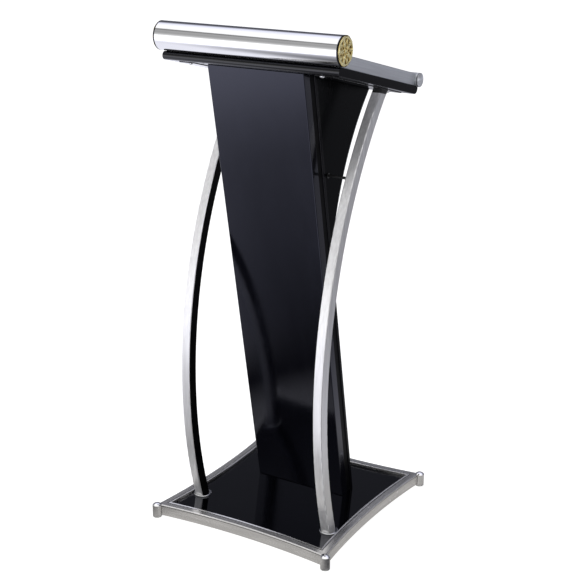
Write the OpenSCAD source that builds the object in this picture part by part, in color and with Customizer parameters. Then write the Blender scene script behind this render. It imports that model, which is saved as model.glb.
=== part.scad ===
// Presentation lectern: sloping desk with a large chrome tube, on a leaning column and two bowed legs.
// Millimetres. +Z is up, -Y faces the audience, +Y faces the speaker.
// The origin is on the floor, under the middle of the base.

/* [Overall] */
// Height from the floor to the top of the large tube
total_h = 1170; // [1150:5:1190]
// Slope of the desk, falling towards the speaker
desk_slope = 13.6; // [12.6:0.1:14.6]

/* [Base] */
// Distance between the corner posts, side to side
post_span_x = 464; // [460:1:480]
// Distance between the corner posts, front to back
post_span_y = 482; // [478:1:500]
// Diameter of a corner post
post_d = 22.4; // [21:0.2:24]
// Height of the base board's top face
board_top = 26; // [25:0.5:28]
// Thickness of the base board
board_t = 12; // [10:1:13]
// Height of a rail's top face above the board
rail_lip = 6.4; // [5:0.1:7]
// How far the middle of each side is drawn in from its ends
rail_bow = 15.5; // [10:0.5:20]
// Width of a base rail
rail_w = 21; // [20:0.5:23]
// Thickness of the steel ballast plate
ballast_t = 6; // [4:1:8]
// Side of the square ballast plate
ballast_size = 290; // [240:10:300]

/* [Legs] */
// Distance from the middle plane to the middle of a leg
leg_x = 177.2; // [174:0.2:180]
// Width of a leg, side to side
leg_w = 22.3; // [20:0.1:24]
// Depth of a leg, front to back
leg_d = 28.4; // [26:0.1:30]
// Radius of a leg's front face
leg_arc_r = 1079.6; // [1075:0.2:1085]
// Y of the centre of a leg's arc
leg_arc_y = 888.6; // [885:0.2:892]
// Z of the centre of a leg's arc
leg_arc_z = 341.6; // [338:0.2:345]
// Wall of the hollow leg
leg_wall = 2; // [1.5:0.1:2.5]
// Depth of the black inlay on a leg's inner face
inlay_t = 2; // [1.5:0.5:2.5]

/* [Column] */
// Width of the column
column_w = 240; // [236:1:244]
// Lean of the column towards the audience
column_lean = 11.15; // [10.8:0.05:11.5]
// Y of the column's front face where it stands on the base board
column_foot_y = 40.7; // [37:0.1:45]
// Thickness of the front board
front_board_t = 24; // [20:1:26]
// Depth of the hollow between the front and back boards
column_hollow = 18.5; // [16:0.5:20]
// Thickness of the back board
back_board_t = 9; // [8:1:12]
// Thickness of a side strip
strip_t = 12; // [10:1:15]
// How far a side strip is set in from the boards' edges
strip_inset = 2; // [1:0.5:4]
// Distance from the middle plane to a cheek's outer face
cheek_x = 117; // [115:0.5:118]
// Thickness of a cheek
cheek_t = 9; // [8:0.5:12]
// Radius of a cheek's curved rear edge
cheek_arc_r = 634; // [630:1:638]
// Y of the centre of that curve
cheek_arc_y = 599.5; // [597:0.5:602]
// Z of the centre of that curve
cheek_arc_z = 585; // [582:0.5:588]
// Height at which the cheeks end
cheek_foot_z = 672; // [670:1:690]
// Height of the shelf's top face
shelf_z = 880; // [860:5:900]
// Thickness of the shelf
shelf_t = 12; // [10:1:15]

/* [Desk] */
// Width of the desk slab
desk_w = 438; // [434:1:442]
// Thickness of the desk slab
slab_t = 19; // [18:0.5:20]
// Y of the large tube's axis
tube_y = -184.9; // [-188:0.1:-182]
// Diameter of the large tube
tube_d = 63.5; // [60:0.5:65]
// Length of the large tube with its end caps
tube_len = 454; // [450:1:460]
// Diameter of the book stop tube
stop_d = 32; // [30:0.5:33]
// Length of the book stop tube with its end caps
stop_len = 456; // [450:1:460]
// Height of the desk's side rails above the slab
tray_h = 27; // [25:0.5:28]
// Width over the desk's side rails
tray_w = 431; // [426:1:434]

/* [Levelling feet] */
// Height of a foot's pad
foot_h = 4; // [3.5:0.5:5]
// How far a foot screws down
foot_travel = 8; // [4:1:10]

/* [Hidden] */

eps = 0.01;
far = 2000;
gap = 0.1;                      // gap between a face and what it nests against
foot_gap = 0.3;                 // gap between a foot's pad and its post
hole_spare = 0.6;               // extra diameter of a hole a screw passes through
thread_spare = 0.2;             // extra diameter of a hole a screw is held by
tube_r = tube_d / 2;
stop_r = stop_d / 2;
post_r = post_d / 2;
half_x = post_span_x / 2;
half_y = post_span_y / 2;

// Desk frame: u runs down the slope, w stands square to it, and w = 0 is the slab's top face
tube_z = total_h - tube_r;
desk_z = tube_z - (tube_r - tube_y * sin(desk_slope)) / cos(desk_slope);
tube_u = tube_y * cos(desk_slope) - (tube_z - desk_z) * sin(desk_slope);
tube_w = tube_r;
slab_front_u = tube_u - 0.2;
slab_rear_u = 177;
slab_nose_r = slab_t / 2;
slab_rear_r = 12;
stop_u = 175.4;
stop_w = 13.8;
tube_screw_x = [-120, 0, 120];
tube_screw_u = tube_u + 18;
stop_screw_u = stop_u - 11;
tube_screw_d = 5;
tube_screw_head_d = 10;
tube_screw_head_h = 4;
tube_screw_sink = 4.5;          // depth of the pocket a tube screw's head sits in
tray_front_u = tube_u + tube_r + 1;
tray_rear_u = stop_u - stop_r - 0.5;
side_rail_w = 14;
tray_base_t = 9;
reading_panel_t = 12;

// Desk mounting plates and the pads on the leg tops
plate_t = 1.5;
plate_w = 40;
plate_front_u = -173;
plate_rear_u = 156;
pad_t = 9.5;
plate_x = 170;
desk_bolt_x = 164;
desk_bolt_u = [-167, 139];
desk_bolt_d = 6;
desk_bolt_head_d = 11;
desk_bolt_head_h = 3.4;
desk_bolt_depth = 12;
bolt_dome_r = (pow(desk_bolt_head_d / 2, 2) + pow(desk_bolt_head_h, 2)) / (2 * desk_bolt_head_h);
leg_top_drop = slab_t + plate_t + pad_t;

// Column, measured square to its front face
back_board_d = front_board_t + column_hollow;
column_d = back_board_d + back_board_t;
column_rear_shift = column_d / cos(column_lean);
strip_x = column_w / 2 - strip_inset;
block_half = strip_x - strip_t;
block_h = 45;
top_block_v = 1010;             // where the top block starts, up the column
column_v = [-100, 1200];        // reach of the column's boards before they are cut to length
column_screw_x = [-90, -40, 40, 90];
column_screw_y = column_foot_y + back_board_d / cos(column_lean) - column_hollow / 2 - 4;
column_screw_d = 6;
column_screw_len = 58;
machine_head_d = 12;
machine_head_h = 4;
top_screw_u = -127;
top_screw_d = 5;
top_screw_head_d = 10;
top_screw_head_h = 4;
top_screw_len = 27;
head_spare = 0.4;               // how much smaller a sunk head is than its pocket
cheek_trim_t = 2.2;
shelf_setback = 10;             // from the cheeks' curved edge to the shelf's front edge
batten_size = [12, 14];

// Base rails: the profile's r runs outwards from the edge of the board that shows
rail_floor = 5;
rail_top = board_top + rail_lip;
bead_r = 1.3;
bead_z = rail_top - 0.6;        // middle of the bead beside the board
bead_wall = 0.4;                // how far the lip's inner face is set back under the bead
groove_w = 1.8;
groove_deep = 2.4;
face_line_w = 1.4;
face_line_deep = 1.2;
face_line_z = rail_top - 4.2;   // bottom of the line below a rail's outer corner
foot_r = 1;
rail_wall = 2;
slot_d = 5.2;
ledge_d = 8;
corner_r = 2.5;
rail_out_x = half_x - rail_bow;
rail_out_y = half_y - rail_bow;
rail_r_x = (half_x * half_x + rail_bow * rail_bow) / (2 * rail_bow);
rail_r_y = (half_y * half_y + rail_bow * rail_bow) / (2 * rail_bow);
arc_fn = 720;
arc_spare = 4;                  // extra angle of a rail's arc, which the mitres cut away
base_screw_at = 110;
base_screw_d = 3.5;
base_screw_bite = 8;            // how far a base screw goes into the board
base_screw_head_d = 6.4;
base_screw_head_h = 2.2;
ledge_z = board_top - board_t;

// Posts and feet
stud_d = 8;
stud_gap = 0.05;
stud_hold = 12;
stud_len = foot_travel + stud_hold;
post_top = 31;
cap_h = 5;
cap_r = (post_r * post_r + cap_h * cap_h) / (2 * cap_h);
cap_spigot = 4;
foot_rim = foot_h / 2;          // radius of a foot pad's rounded rim

// Leg ends
leg_corner_r = 2.6;
leg_inner_r = 1;
leg_edge = 1.5;                 // width of metal left beside a leg's inlay
leg_reach = [-60, 1100];        // heights a leg is drawn between before its ends are cut
pad_reach = [900, 1150];
ring_r = 21.3;
ring_h = 4;
ring_clear = 1.2;               // dark gap between a leg and its ring
ring_round = 1.5;
ring_reach = [-60, 120];
leg_foot_y = leg_arc_y - sqrt(pow(leg_arc_r - leg_d / 2, 2) - pow(board_top - leg_arc_z, 2));
leg_plug_h = 28;
leg_foot_lean = asin((leg_arc_z - board_top - leg_plug_h / 2) / leg_arc_r);
leg_bolt_y = leg_foot_y - 3;
leg_bolt_d = 6;
leg_bolt_short = 4;             // how far a leg bolt ends below its plug's top
plug_room = [0.8, 1.2];         // how much a plug is smaller than the leg's inside

// Standoff rods between the cheeks and the legs
rod_d = 6.5;
rod_y = -52;
rod_z = 845;
rod_flange_d = 12;
rod_flange_t = 1.5;

// Tube ends
ring_lip = 4;
cap_plug_len = 14;
cap_plug_wall = 2;
tube_wall = 2;
stop_wall = 1.5;
stop_cap_len = 8;
stop_rim_t = 3;
stop_plug_len = 10;
ring_edge = 0.8;
medallion_inset = 1.2;
medallion_r = tube_r - medallion_inset;
medallion_seat = 2;
medallion_rim = [2.5, 1.6];
medallion_face = 0.4;
petals = 8;
petal_r = 5.2;
petal_h = 1.4;
boss_r = 6.5;
boss_h = 2.4;
stop_shoulder = 1;              // step between a stop cap's rim and its dome

// ---------- helpers ----------

// Extrudes an outline drawn in (Y, Z) from x0 to x1
module yz_plate(x0, x1)
    translate([x0, 0, 0]) rotate([90, 0, 90]) linear_extrude(x1 - x0) children();

// Puts what is drawn in (x, u, w) on the sloping desk
module on_desk()
    translate([0, 0, desk_z]) rotate([-desk_slope, 0, 0]) children();

// A bar along X
module x_bar(r, x0, x1, y = 0, z = 0)
    translate([x0, y, z]) rotate([0, 90, 0]) cylinder(r = r, h = x1 - x0, $fn = 96);

// Everything below a plane parallel to the desk, drop under the slab's top face
module under_desk(drop)
    on_desk() translate([-far / 2, -far / 2, -drop - far]) cube([far, far, far]);

// A rectangle with round corners, from circles and squares only
module soft_rect(w, h, r) {
    translate([-w / 2 + r, -h / 2]) square([w - 2 * r, h]);
    translate([-w / 2, -h / 2 + r]) square([w, h - 2 * r]);
    for (sx = [-1, 1], sy = [-1, 1])
        translate([sx * (w / 2 - r), sy * (h / 2 - r)]) circle(r, $fn = 32);
}

// Screw with a hexagon socket: the head hangs below the origin and the shank stands on it
module socket_screw(d, length, head_d, head_h) {
    difference() {
        translate([0, 0, -head_h]) cylinder(d = head_d, h = head_h, $fn = 48);
        translate([0, 0, -head_h - 1]) linear_extrude(1 + head_h * 0.6)
            polygon([for (i = [0:5]) head_d * 0.28 * [cos(i * 60), sin(i * 60)]]);
    }
    cylinder(d = d, h = length, $fn = 48);
}

// Puts its children at the middle plane's left or right side
module at_side(side)
    mirror([side < 0 ? 1 : 0, 0, 0]) children();

// ---------- base ----------

// Points on an arc about (cx, cy), from angle a0 to angle a1
function arc_points(cx, cy, r, a0, a1, steps = 6) =
    [for (i = [0:steps]) let (a = a0 + (a1 - a0) * i / steps) [cx + r * cos(a), cy + r * sin(a)]];

// Outline of a base rail: a hollow box with a beaded lip over the board and a ledge under it
module rail_profile()
    difference() {
        polygon(concat(
            [[slot_d, board_top], [bead_wall, board_top]],
            arc_points(bead_r, bead_z, bead_r, 225, 60),
            [[slot_d - groove_w / 2, rail_top], [slot_d - groove_w / 2, rail_top - groove_deep]],
            [[slot_d + groove_w / 2, rail_top - groove_deep], [slot_d + groove_w / 2, rail_top]],
            arc_points(rail_w - corner_r, rail_top - corner_r, corner_r, 90, 0),
            [[rail_w, face_line_z + face_line_w], [rail_w - face_line_deep, face_line_z + face_line_w]],
            [[rail_w - face_line_deep, face_line_z], [rail_w, face_line_z]],
            arc_points(rail_w - foot_r, rail_floor + foot_r, foot_r, 0, -90, 3),
            [[slot_d, rail_floor], [slot_d, ledge_z - rail_wall], [slot_d - ledge_d, ledge_z - rail_wall]],
            [[slot_d - ledge_d, ledge_z], [slot_d, ledge_z]]
        ));
        translate([slot_d + rail_wall, rail_floor + rail_wall])
            square([rail_w - slot_d - 2 * rail_wall, rail_top - groove_deep - rail_floor - 2 * rail_wall]);
    }

// One rail on the side that faces -Y, before its ends are cut; arc_r is its outer face's radius
module rail_ring(arc_r, out) {
    span = 2 * asin((post_span_x + post_span_y) / 4 / arc_r) + arc_spare;
    translate([0, -out - arc_r, 0]) rotate([0, 0, 90 - span / 2])
        rotate_extrude(angle = span, $fn = arc_fn)
            translate([arc_r + rail_w, 0]) mirror([1, 0]) rail_profile();
}

// The wedge that mitres a rail to the corner posts
module mitre_wedge(half, out)
    linear_extrude(far)
        polygon([[-half - post_r, -out - post_r], [half + post_r, -out - post_r], [0, half - out]]);

module each_corner()
    for (sx = [-1, 1], sy = [-1, 1]) translate([sx * half_x, sy * half_y, 0]) children();

module base_rail(half, out, arc_r, turn) {
    difference() {
        rotate([0, 0, turn]) intersection() {
            rail_ring(arc_r, out - rail_bow);
            mitre_wedge(half, out);
        }
        each_corner() cylinder(r = post_r + gap, h = far, center = true, $fn = 96);
        base_screw_places() cylinder(d = base_screw_d + hole_spare, h = 2 * ledge_z, center = true, $fn = 48);
    }
}

// Board outline: a rectangle with four shallow arcs cut out, reaching into the rails' slots
module board_outline() {
    reach_x = rail_out_x - rail_w + slot_d - gap;
    reach_y = rail_out_y - rail_w + slot_d - gap;
    difference() {
        square([2 * (half_x - rail_w + slot_d), 2 * (half_y - rail_w + slot_d)], center = true);
        for (s = [-1, 1]) {
            translate([0, s * (reach_y + rail_r_x + rail_w - slot_d)])
                circle(rail_r_x + rail_w - slot_d, $fn = arc_fn);
            translate([s * (reach_x + rail_r_y + rail_w - slot_d), 0])
                circle(rail_r_y + rail_w - slot_d, $fn = arc_fn);
            for (t = [-1, 1]) translate([s * half_x, t * half_y]) circle(post_r + gap, $fn = 96);
        }
    }
}

// How far an arc of radius r has curved away at a distance x from its middle
function bow_at(r, x) = r - sqrt(r * r - x * x);

// The places of the screws that hold the board to the rails' ledges
module base_screw_places() {
    in = rail_w + (ledge_d - slot_d) / 2;
    screw_y = rail_out_y - in + bow_at(rail_r_x + in, base_screw_at);
    screw_x = rail_out_x - in + bow_at(rail_r_y + in, base_screw_at);
    for (s = [-1, 1], t = [-1, 1]) {
        translate([t * base_screw_at, s * screw_y, 0]) children();
        translate([s * screw_x, t * base_screw_at, 0]) children();
    }
}

module base_board() color([0.05, 0.05, 0.07])
    difference() {
        translate([0, 0, ledge_z]) linear_extrude(board_t) board_outline();
        for (side = [-1, 1]) translate([side * leg_x, leg_bolt_y, 0])
            cylinder(d = leg_bolt_d + hole_spare, h = far, center = true, $fn = 48);
        for (x = column_screw_x) translate([x, column_screw_y, 0])
            cylinder(d = column_screw_d + hole_spare, h = far, center = true, $fn = 48);
        base_screw_places()
            cylinder(d = base_screw_d + thread_spare, h = ledge_z + base_screw_bite + 1, $fn = 48);
    }

module ballast_plate() color([0.18, 0.18, 0.19])
    difference() {
        translate([-ballast_size / 2, -ballast_size / 2, ledge_z - ballast_t])
            cube([ballast_size, ballast_size, ballast_t]);
        for (x = column_screw_x) translate([x, column_screw_y, 0])
            cylinder(d = column_screw_d + hole_spare, h = far, center = true, $fn = 48);
    }

module corner_post(sx, sy) color([0.75, 0.75, 0.74])
    translate([sx * half_x, sy * half_y, 0]) difference() {
        translate([0, 0, foot_h + foot_gap]) cylinder(r = post_r, h = post_top - foot_h - foot_gap, $fn = 96);
        cylinder(d = stud_d + 2 * stud_gap, h = far, $fn = 64);
    }

module post_caps() color([0.85, 0.85, 0.85])
    each_corner() translate([0, 0, post_top]) {
        intersection() {
            translate([0, 0, cap_h - cap_r]) sphere(cap_r, $fn = 96);
            cylinder(r = post_r, h = cap_h + 1, $fn = 96);
        }
        translate([0, 0, -cap_spigot]) cylinder(d = stud_d, h = cap_spigot + eps, $fn = 64);
    }

module base_screws() color([0.6, 0.6, 0.62])
    base_screw_places() translate([0, 0, ledge_z - rail_wall])
        socket_screw(base_screw_d, rail_wall + base_screw_bite, base_screw_head_d, base_screw_head_h);

// A foot: a pad with a rounded rim on a stud that runs in the post
module levelling_foot(sx, sy) color([0.7, 0.7, 0.7])
    translate([sx * half_x, sy * half_y, 0]) {
        cylinder(r = post_r - foot_rim, h = foot_h, $fn = 96);
        translate([0, 0, foot_rim]) rotate_extrude($fn = 96)
            translate([post_r - foot_rim, 0]) circle(foot_rim, $fn = 32);
        cylinder(d = stud_d, h = foot_h + stud_len, $fn = 64);
    }

// ---------- legs ----------

// A bar that follows the leg's arc, its section drawn about the leg's middle
module leg_arc(z0, z1) {
    a0 = asin((z0 - leg_arc_z) / leg_arc_r);
    a1 = asin((z1 - leg_arc_z) / leg_arc_r);
    translate([leg_x, leg_arc_y, leg_arc_z]) rotate([90, 0, -90]) rotate([0, 0, a0])
        rotate_extrude(angle = a1 - a0, $fn = arc_fn)
            translate([leg_arc_r - leg_d / 2, 0]) children();
}

// Cuts a leg piece off level with the board and square with the desk
module leg_trim(foot = board_top, drop = leg_top_drop)
    intersection() {
        children();
        translate([0, -far / 2, foot]) cube([far, far, far]);
        under_desk(drop);
    }

module leg_shell() {
    leg_trim() leg_arc(leg_reach[0], leg_reach[1]) difference() {
        soft_rect(leg_d, leg_w, leg_corner_r);
        soft_rect(leg_d - 2 * leg_wall, leg_w - 2 * leg_wall - inlay_t, leg_inner_r);
        translate([-leg_d / 2 + leg_edge, leg_w / 2 - inlay_t]) square([leg_d - 2 * leg_edge, inlay_t + 1]);
    }
}

module leg(side) color([0.8, 0.8, 0.79]) at_side(side) leg_shell();

module leg_inlay(side) color([0.03, 0.03, 0.03]) at_side(side)
    leg_trim() leg_arc(leg_reach[0], leg_reach[1])
        translate([-leg_d / 2 + leg_edge + gap, leg_w / 2 - inlay_t + gap])
            square([leg_d - 2 * leg_edge - 2 * gap, inlay_t - 3 * gap]);

// The chrome ring round the foot of a leg
module leg_ring(side) color([0.85, 0.85, 0.86]) at_side(side)
    difference() {
        translate([leg_x, leg_foot_y, board_top]) {
            cylinder(r = ring_r, h = ring_h - ring_round, $fn = 96);
            cylinder(r = ring_r - ring_round, h = ring_h, $fn = 96);
            translate([0, 0, ring_h - ring_round]) rotate_extrude($fn = 96)
                translate([ring_r - ring_round, 0]) circle(ring_round, $fn = 32);
        }
        leg_arc(ring_reach[0], ring_reach[1])
            soft_rect(leg_d + 2 * ring_clear, leg_w + 2 * ring_clear, leg_corner_r + ring_clear);
    }

module leg_foot_plugs() color([0.2, 0.2, 0.2])
    for (side = [-1, 1]) at_side(side) difference() {
        intersection() {
            translate([leg_x, leg_foot_y, board_top]) rotate([leg_foot_lean, 0, 0]) cube([
                leg_w - 2 * leg_wall - inlay_t - plug_room[0],
                leg_d - 2 * leg_wall - plug_room[1],
                3 * leg_plug_h
            ], center = true);
            translate([0, -far / 2, board_top]) cube([far, far, leg_plug_h]);
        }
        translate([leg_x, leg_bolt_y, 0]) cylinder(d = leg_bolt_d + thread_spare, h = far, $fn = 48);
    }

module leg_foot_bolts() color([0.6, 0.6, 0.62])
    for (side = [-1, 1]) translate([side * leg_x, leg_bolt_y, ledge_z])
        socket_screw(leg_bolt_d, board_t + leg_plug_h - leg_bolt_short, machine_head_d, machine_head_h);

// The black pad between a leg's top and the plate under the desk
module leg_top_pad(side) color([0.03, 0.03, 0.03]) at_side(side)
    difference() {
        intersection() {
            leg_arc(pad_reach[0], pad_reach[1]) soft_rect(leg_d, leg_w, leg_corner_r);
            under_desk(slab_t + plate_t);
        }
        under_desk(leg_top_drop);
    }

module standoff(side) color([0.05, 0.05, 0.05]) at_side(side) {
    inner = cheek_x;
    outer = leg_x - leg_w / 2;
    x_bar(rod_d / 2, inner, outer, rod_y, rod_z);
    x_bar(rod_flange_d / 2, inner, inner + rod_flange_t, rod_y, rod_z);
    x_bar(rod_flange_d / 2, outer - rod_flange_t, outer, rod_y, rod_z);
}

// ---------- column ----------

// Everything between the base board and the underside of the slab
module column_room()
    intersection() {
        translate([-far / 2, -far / 2, board_top]) cube([far, far, far]);
        under_desk(slab_t);
    }

// A board of the leaning column, from depth d0 to d1 behind its front face
module column_layer(x0, x1, d0, d1, z0 = column_v[0], z1 = column_v[1])
    intersection() {
        translate([0, column_foot_y, board_top]) rotate([column_lean, 0, 0])
            translate([x0, d0, z0]) cube([x1 - x0, d1 - d0, z1 - z0]);
        column_room();
    }

// Y of the back board's rear face at a height
function rear_y(z) = column_foot_y + column_rear_shift - (z - board_top) * tan(column_lean);
// Y of the cheeks' curved edge at a height
function cheek_y(z) = cheek_arc_y - sqrt(pow(cheek_arc_r, 2) - pow(z - cheek_arc_z, 2));

module front_board() color([0.04, 0.04, 0.05])
    column_layer(-column_w / 2, column_w / 2, 0, front_board_t);

module back_board() color([0.04, 0.04, 0.05])
    column_layer(-column_w / 2, column_w / 2, back_board_d, column_d);

module side_strip(side) color([0.12, 0.12, 0.13]) at_side(side)
    column_layer(strip_x - strip_t, strip_x, front_board_t, back_board_d);

module column_foot_block() color([0.7, 0.55, 0.35])
    difference() {
        column_layer(-block_half, block_half, front_board_t, back_board_d, -20, block_h);
        for (x = column_screw_x) translate([x, column_screw_y, 0])
            cylinder(d = column_screw_d + thread_spare, h = far, $fn = 48);
    }

module column_top_block() color([0.7, 0.55, 0.35])
    difference() {
        column_layer(-block_half, block_half, front_board_t, back_board_d, top_block_v, column_v[1]);
        for (x = column_screw_x) on_desk() translate([x, top_screw_u, -far])
            cylinder(d = top_screw_d + thread_spare, h = far, $fn = 48);
    }

module column_foot_screws() color([0.6, 0.6, 0.62])
    for (x = column_screw_x) translate([x, column_screw_y, ledge_z - ballast_t])
        socket_screw(column_screw_d, column_screw_len - ledge_z + ballast_t, machine_head_d, machine_head_h);

module column_top_screws() color([0.6, 0.6, 0.62])
    for (x = column_screw_x) on_desk() translate([x, top_screw_u, -top_screw_head_h])
        mirror([0, 0, 1]) socket_screw(
            top_screw_d, top_screw_len, top_screw_head_d - head_spare, top_screw_head_h - head_spare
        );

// Side panel under the desk, from the back board to its curved rear edge; inset moves that edge in
module cheek_outline(inset, foot)
    difference() {
        polygon([
            [rear_y(foot), foot],
            [rear_y(total_h), total_h],
            [cheek_y(total_h), total_h],
            [cheek_arc_y, foot],
        ]);
        translate([cheek_arc_y, cheek_arc_z]) circle(cheek_arc_r - inset, $fn = arc_fn);
    }

module cheek(side) color([0.05, 0.06, 0.06]) at_side(side)
    intersection() {
        yz_plate(cheek_x - cheek_t, cheek_x) cheek_outline(0, cheek_foot_z);
        column_room();
    }

// The thin metal strip along a cheek's curved edge
module cheek_trim(side) color([0.5, 0.5, 0.52]) at_side(side)
    intersection() {
        yz_plate(cheek_x - cheek_t, cheek_x) intersection() {
            cheek_outline(cheek_trim_t, cheek_foot_z);
            translate([cheek_arc_y, cheek_arc_z]) circle(cheek_arc_r - gap, $fn = arc_fn);
        }
        column_room();
    }

module shelf() color([0.05, 0.05, 0.05]) {
    front = cheek_y(shelf_z) - shelf_setback;
    inner = cheek_x - cheek_t;
    yz_plate(-inner, inner) polygon([
        [rear_y(shelf_z - shelf_t), shelf_z - shelf_t],
        [rear_y(shelf_z), shelf_z],
        [front, shelf_z],
        [front, shelf_z - shelf_t],
    ]);
}

module shelf_battens() color([0.3, 0.22, 0.14]) {
    low = shelf_z - shelf_t - batten_size[1];
    inner = cheek_x - cheek_t;
    for (side = [-1, 1]) at_side(side)
        translate([inner - batten_size[0], rear_y(low), low])
            cube([batten_size[0], cheek_y(low) - batten_size[0] - rear_y(low), batten_size[1]]);
}

// ---------- desk ----------

module slab_profile() {
    translate([slab_front_u + slab_nose_r, -slab_t])
        square([slab_rear_u - slab_rear_r - slab_front_u - slab_nose_r, slab_t]);
    translate([slab_front_u + slab_nose_r, -slab_nose_r]) circle(slab_nose_r, $fn = 64);
    translate([slab_rear_u - slab_rear_r, -slab_t + slab_rear_r]) intersection() {
        circle(slab_rear_r, $fn = 64);
        translate([-eps, -slab_rear_r]) square([slab_rear_r + eps, slab_rear_r + eps]);
    }
    translate([slab_rear_u - slab_rear_r - eps, -slab_t + slab_rear_r])
        square([slab_rear_r + eps, slab_t - slab_rear_r]);
}

// Places of the screws that hold the two tubes, from under the slab
module tube_screw_places()
    for (x = tube_screw_x, u = [tube_screw_u, stop_screw_u])
        on_desk() translate([x, u, -slab_t]) children();

module desk_slab() color([0.04, 0.04, 0.045])
    difference() {
        on_desk() yz_plate(-desk_w / 2, desk_w / 2) slab_profile();
        on_desk() x_bar(stop_r + gap, -desk_w, desk_w, stop_u, stop_w);
        tube_screw_places() {
            translate([0, 0, -1]) cylinder(d = tube_screw_head_d + 1, h = tube_screw_sink + 1, $fn = 48);
            cylinder(d = tube_screw_d + thread_spare, h = slab_t + 1, $fn = 48);
        }
        for (x = column_screw_x) on_desk() translate([x, top_screw_u, 0]) {
            translate([0, 0, -top_screw_head_h]) cylinder(d = top_screw_head_d, h = far, $fn = 48);
            cylinder(d = top_screw_d + thread_spare, h = far, center = true, $fn = 48);
        }
        for (side = [-1, 1], u = desk_bolt_u) on_desk() translate([side * desk_bolt_x, u, -slab_t - 1])
            cylinder(d = desk_bolt_d + thread_spare, h = desk_bolt_depth + 1, $fn = 48);
    }

module desk_plate(side) color([0.75, 0.75, 0.75]) at_side(side)
    on_desk() difference() {
        translate([plate_x - plate_w / 2, plate_front_u, -slab_t - plate_t])
            cube([plate_w, plate_rear_u - plate_front_u, plate_t]);
        for (u = desk_bolt_u) translate([desk_bolt_x, u, -slab_t])
            cylinder(d = desk_bolt_d + hole_spare, h = far, center = true, $fn = 48);
    }

// Domed bolts that hold the plates to the slab
module desk_bolts() color([0.85, 0.85, 0.85])
    for (side = [-1, 1], u = desk_bolt_u) on_desk()
        translate([side * desk_bolt_x, u, -slab_t - plate_t]) {
            cylinder(d = desk_bolt_d, h = plate_t + desk_bolt_depth - 1, $fn = 48);
            intersection() {
                translate([0, 0, bolt_dome_r - desk_bolt_head_h]) sphere(bolt_dome_r, $fn = 64);
                translate([0, 0, -desk_bolt_head_h - 1])
                    cylinder(d = desk_bolt_head_d, h = desk_bolt_head_h + 1, $fn = 64);
            }
        }

module tray_base() color([0.25, 0.22, 0.2])
    on_desk() translate([-tray_w / 2 + side_rail_w, tray_front_u, 0])
        cube([tray_w - 2 * side_rail_w, tray_rear_u - tray_front_u, tray_base_t]);

module reading_panel() color([0.06, 0.06, 0.07])
    on_desk() translate([-tray_w / 2 + side_rail_w, tray_front_u, tray_base_t])
        cube([tray_w - 2 * side_rail_w, tray_rear_u - tray_front_u, reading_panel_t]);

// A side rail of the reading tray, coved at its ends to fit the two tubes
module side_rail(side) color([0.62, 0.62, 0.63]) at_side(side)
    on_desk() difference() {
        translate([tray_w / 2 - side_rail_w, slab_front_u + slab_nose_r, 0])
            cube([side_rail_w, stop_u - slab_front_u - slab_nose_r, tray_h]);
        x_bar(tube_r + gap, 0, far, tube_u, tube_w);
        x_bar(stop_r + gap, 0, far, stop_u, stop_w);
    }

// The support under and behind the large tube, between the side rails
module tube_cradle() color([0.1, 0.1, 0.1])
    difference() {
        on_desk() translate([-tray_w / 2 + side_rail_w, slab_front_u + slab_nose_r, 0]) cube([
            tray_w - 2 * side_rail_w,
            tray_front_u - slab_front_u - slab_nose_r,
            tray_base_t + reading_panel_t
        ]);
        on_desk() x_bar(tube_r + gap, -far, far, tube_u, tube_w);
        tube_screw_places() cylinder(d = tube_screw_d + thread_spare, h = far, $fn = 48);
    }

module tube_screws() color([0.6, 0.6, 0.62])
    tube_screw_places() translate([0, 0, tube_screw_sink])
        socket_screw(tube_screw_d, slab_t + tube_screw_d, tube_screw_head_d, tube_screw_head_h);

module hollow_tube(r, wall, half_len)
    difference() {
        x_bar(r, -half_len, half_len);
        x_bar(r - wall, -half_len - 1, half_len + 1);
    }

module top_tube() color([0.9, 0.9, 0.91])
    difference() {
        on_desk() translate([0, tube_u, tube_w]) hollow_tube(tube_r, tube_wall, tube_len / 2 - ring_lip);
        tube_screw_places() cylinder(d = tube_screw_d + thread_spare, h = tube_r + slab_t, $fn = 48);
    }

// The black ring in the end of the large tube
module tube_ring(side) color([0.05, 0.05, 0.05]) at_side(side)
    on_desk() translate([tube_len / 2, tube_u, tube_w]) difference() {
        union() {
            x_bar(tube_r, -ring_lip, -ring_edge);
            x_bar(tube_r - ring_edge, -ring_lip, 0);
            x_bar(tube_r - tube_wall - gap, -ring_lip - cap_plug_len, -ring_lip + 1);
        }
        x_bar(medallion_r + gap, -medallion_seat, 1);
        x_bar(tube_r - tube_wall - cap_plug_wall - gap, -far, -ring_lip);
    }

// The gilt end disc, with a plain rosette
module medallion(side) color([0.85, 0.68, 0.25]) at_side(side)
    on_desk() translate([tube_len / 2, tube_u, tube_w]) {
        x_bar(medallion_r, -medallion_seat, medallion_face);
        difference() {
            x_bar(medallion_r, 0, medallion_rim[1]);
            x_bar(medallion_r - medallion_rim[0], -1, medallion_rim[1] + 1);
        }
        for (i = [0:petals - 1]) rotate([i * 360 / petals, 0, 0])
            x_bar(petal_r, 0, petal_h, medallion_r / 2, 0);
        x_bar(boss_r, 0, boss_h);
    }

module book_stop() color([0.7, 0.7, 0.71])
    difference() {
        on_desk() translate([0, stop_u, stop_w]) hollow_tube(stop_r, stop_wall, stop_len / 2 - stop_cap_len);
        tube_screw_places() cylinder(d = tube_screw_d + thread_spare, h = stop_r + slab_t, $fn = 48);
    }

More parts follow.
